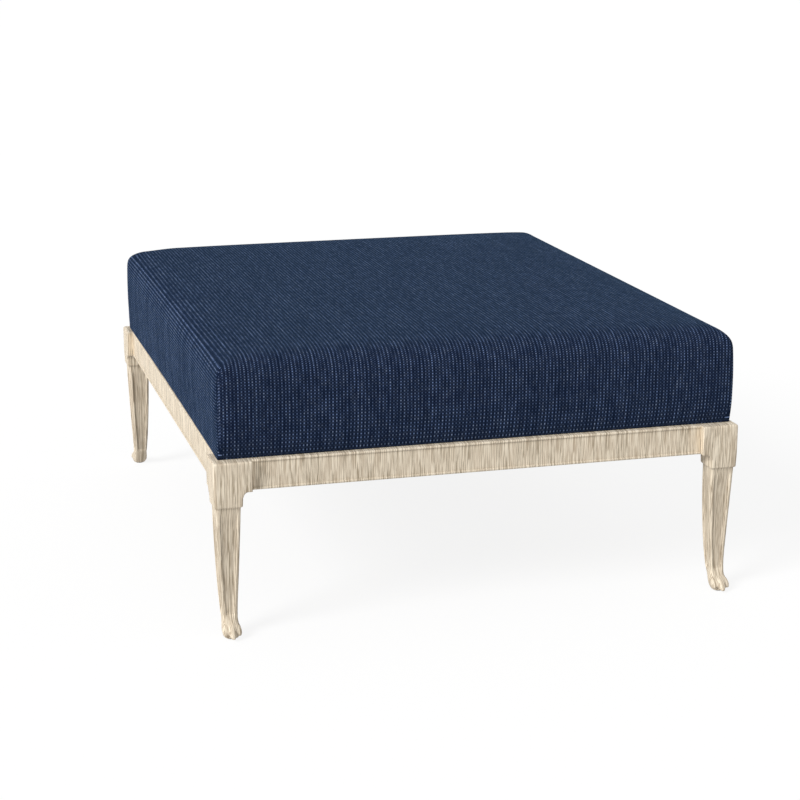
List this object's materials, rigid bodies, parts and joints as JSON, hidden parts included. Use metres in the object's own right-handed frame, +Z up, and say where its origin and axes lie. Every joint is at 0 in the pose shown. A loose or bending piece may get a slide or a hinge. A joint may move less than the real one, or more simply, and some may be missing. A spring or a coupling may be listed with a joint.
{
  "type": "outdoor ottoman footstool",
  "caption": "Outdoor ottoman with a painted cast frame on fluted paw-footed legs, a slatted deck and a thick loose box cushion with a zip.",
  "frame": {"origin": "on the floor under the middle of the frame", "axes": "+Z up, +Y from the front to the back along the longer side, +X to the right seen from the front"},
  "size_m": [0.762, 0.9242, 0.3935],
  "materials": {
    "frame_paint": "satin cream wash with fine vertical brush streaks",
    "deck_paint": "plain cream powder coat",
    "glide_plastic": "matte grey",
    "screw_steel": "bright stainless",
    "cover_cloth": "ribbed navy outdoor weave, heathered",
    "core_foam": "open-cell foam",
    "zip_tape": "navy zip tape",
    "zip_metal": "satin metal"
  },
  "bodies": {
    "frame": {"leg_front_left": "frame_paint", "glide_front_left": "glide_plastic", "leg_front_right": "frame_paint", "glide_front_right": "glide_plastic", "leg_back_left": "frame_paint", "glide_back_left": "glide_plastic", "leg_back_right": "frame_paint", "glide_back_right": "glide_plastic", "back_rail": "frame_paint", "rail_screw_back_1": "screw_steel", "rail_screw_back_2": "screw_steel", "left_rail": "frame_paint", "rail_screw_left_1": "screw_steel", "rail_screw_left_2": "screw_steel", "front_rail": "frame_paint", "rail_screw_front_1": "screw_steel", "rail_screw_front_2": "screw_steel", "right_rail": "frame_paint", "rail_screw_right_1": "screw_steel", "rail_screw_right_2": "screw_steel", "slat_ledge_left": "deck_paint", "ledge_screw_left_1": "screw_steel", "ledge_screw_left_2": "screw_steel", "ledge_screw_left_3": "screw_steel", "slat_ledge_right": "deck_paint", "ledge_screw_right_1": "screw_steel", "ledge_screw_right_2": "screw_steel", "ledge_screw_right_3": "screw_steel", "deck_slat_1": "deck_paint", "slat_screw_1_left": "screw_steel", "slat_screw_1_right": "screw_steel", "deck_slat_2": "deck_paint", "slat_screw_2_left": "screw_steel", "slat_screw_2_right": "screw_steel", "deck_slat_3": "deck_paint", "slat_screw_3_left": "screw_steel", "slat_screw_3_right": "screw_steel", "deck_slat_4": "deck_paint", "slat_screw_4_left": "screw_steel", "slat_screw_4_right": "screw_steel", "deck_slat_5": "deck_paint", "slat_screw_5_left": "screw_steel", "slat_screw_5_right": "screw_steel", "deck_slat_6": "deck_paint", "slat_screw_6_left": "screw_steel", "slat_screw_6_right": "screw_steel"},
    "cushion": {"cushion_cover": "cover_cloth", "cushion_core": "core_foam", "zip_tape_upper": "zip_tape", "zip_tape_lower": "zip_tape", "zip_chain": "zip_metal", "zip_stop_left": "zip_metal", "zip_stop_right": "zip_metal"},
    "zip_slider_body": {"zip_slider": "zip_metal"},
    "zip_pull_body": {"zip_pull": "zip_metal"}
  },
  "joints": [
    {"name": "cushion_lift", "type": "slide", "parent": "frame", "child": "cushion", "axis": [0, 0, 1], "range_m": [0, 0.25]},
    {"name": "zip_slide", "type": "slide", "parent": "cushion", "child": "zip_slider_body", "axis": [1, 0, 0], "range_m": [-0.547, 0]},
    {"name": "pull_flip", "type": "hinge", "parent": "zip_slider_body", "child": "zip_pull_body", "pos_m": [0.2735, 0.441, 0.3183], "axis": [0, 0, -1], "range_deg": [0, 180]}
  ]
}
